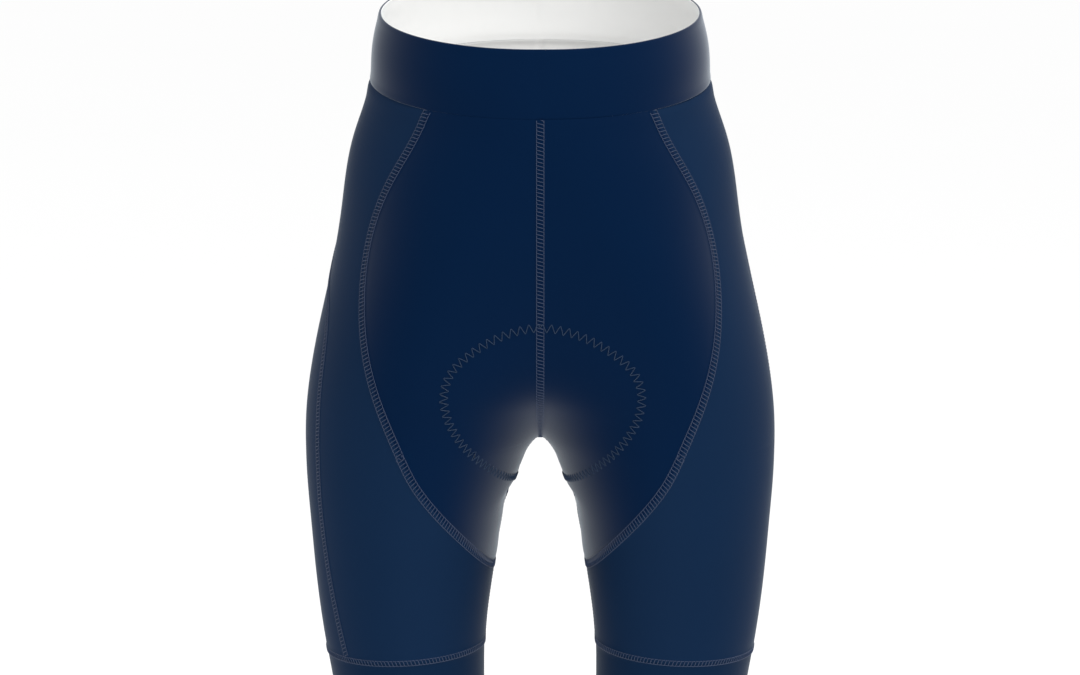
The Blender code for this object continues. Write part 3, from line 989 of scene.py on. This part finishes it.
def build_room():
    """A wide pale floor, even white light and five soft lamps."""
    half = FLOOR_HALF_WIDTH / MM
    corners = np.array([[-half, -half, 0], [half, -half, 0], [half, half, 0], [-half, half, 0]])
    corners[:, 2] = FLOOR_Z / MM
    floor = link_mesh("floor", corners, np.array([[0, 1, 2, 3]]))
    floor.data.materials.append(floor_material())
    world = bpy.data.worlds.new("white_room")
    world.use_nodes = True
    sky = world.node_tree.nodes["Background"]
    sky.inputs["Color"].default_value = (1.0, 1.0, 1.0, 1.0)
    sky.inputs["Strength"].default_value = WHITE_LIGHT
    bpy.context.scene.world = world
    bpy.context.scene.view_settings.view_transform = "Standard"
    crotch = Vector((0.0, 0.0, -CROTCH * MM))
    for name, place, aim, size, power in (
        ("lamp_left", (-2.6, -2.4, 1.4), crotch, 1.8, 6.0),
        ("lamp_right", (2.9, -2.0, 1.2), crotch, 2.0, 18.0),
        ("lamp_over_waist", (0.8, -0.7, 1.6), Vector((0.0, 0.05, 0.0)), 0.8, 25.0),
        ("lamp_behind", (0.0, 1.3, -0.45), crotch, 0.6, 1.5),
        ("lamp_low_front", (0.0, -0.8, -0.9), crotch, 0.5, 2.0),
    ):
        lamp = bpy.data.lights.new(name, "AREA")
        lamp.shape = "SQUARE"
        lamp.size = size
        lamp.energy = power
        holder = bpy.data.objects.new(name, lamp)
        holder.location = place
        holder.rotation_euler = (aim - Vector(place)).to_track_quat("-Z", "Y").to_euler()
        holder.visible_camera = False
        bpy.context.scene.collection.objects.link(holder)


def build_camera():
    """The photo's view: from the front, a little from above, with a long lens."""
    camera = bpy.data.cameras.new("camera")
    camera.sensor_width = SENSOR_WIDTH
    camera.lens = SENSOR_WIDTH * CAMERA_DISTANCE / (PIXEL_SIZE * PHOTO_WIDTH_PX)
    camera.clip_end = 100.0
    holder = bpy.data.objects.new("camera", camera)
    sideways = (PHOTO_MIDDLE_PX - SHORTS_MIDDLE_PX) * PIXEL_SIZE
    back = Vector((0.0, -math.cos(CAMERA_DOWN), math.sin(CAMERA_DOWN)))
    holder.location = Vector((sideways, 0.0, CAMERA_TARGET_Z)) + CAMERA_DISTANCE * back
    holder.rotation_euler = (-back).to_track_quat("-Z", "Y").to_euler()
    bpy.context.scene.collection.objects.link(holder)
    bpy.context.scene.camera = holder


def outer_area(obj):
    """Area of the cloth's outside, in square metres."""
    mesh = obj.data
    areas = np.empty(len(mesh.polygons), np.float32)
    mesh.polygons.foreach_get("area", areas)
    return float(areas.sum()) / 2


def declare_sheet(obj, width, length, hangs_from):
    """Work out the flat cut from worn sizes in millimetres, made smaller by the stretch; the result
    is not kept.
    """
    flat = (width * CUT_ROUND * MM, length * CUT_DOWN * MM)
    area = min(outer_area(obj) * CUT_ROUND * CUT_DOWN, flat[0] * flat[1])


def main():
    build_camera()
    # The last value of each knit is the strength of its painted sheen: base colour painted paler
    # grey towards grazing views
    panel = knit_material(
        "panel_knit", *FRONT_NAVY, rib=0.00062, sheen=0.32, sheen_roughness=0.30, painted_sheen=0.54)
    thigh = knit_material(
        "thigh_knit", *SIDE_NAVY, rib=0.00062, sheen=0.11, sheen_roughness=0.21, painted_sheen=0.03)
    band = knit_material(
        "waistband_knit", *FRONT_NAVY, rib=0.00090, sheen=0.36, sheen_roughness=0.30, painted_sheen=0.46)
    leg_band = knit_material(
        "leg_band_knit", *LEG_BAND_NAVY, rib=0.00080, sheen=0.10, sheen_roughness=0.25, painted_sheen=0.03)
    thread = thread_material("seam_thread", *SEAM_SLATE)
    pad_thread = thread_material("pad_thread", *PAD_SLATE)

    waistband = build_waistband()
    cloth = {"waistband": (waistband, band, "waistband_knit")}
    for leg in LEGS:
        for node, obj in build_panels(leg).items():
            if node.startswith("front"):
                cloth[node] = (obj, panel, "panel_knit")
            else:
                cloth[node] = (obj, thigh, "thigh_knit")
        cloth["leg_band_" + leg] = (build_leg_band(leg), leg_band, "leg_band_knit")
    for node, (obj, material, slot) in cloth.items():
        obj.data.materials.append(material)
        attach(obj, "root")
        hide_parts(node)

    for name, obj in build_threads().items():
        obj.data.materials.append(pad_thread if name.startswith("pad") else thread)
        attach(obj, "root")

    declare_sheet(
        waistband, 2 * girth_at(WAISTBAND_MIDDLE), BAND_SEAM, ["front_panel_cloth_left"])
    for leg in LEGS:
        thigh_panel = cloth["thigh_panel_" + leg][0]
        declare_sheet(cloth["front_panel_" + leg][0], *FRONT_PANEL_WORN, [waistband])
        declare_sheet(thigh_panel, *SIDE_PANEL_WORN, [waistband])
        declare_sheet(cloth["back_panel_" + leg][0], *SIDE_PANEL_WORN, [waistband])
        declare_sheet(cloth["leg_band_" + leg][0], girth_at(LEG_BAND_MIDDLE),
                      HEM_EDGE - HEM_SEAM, [thigh_panel])
    build_room()


main()
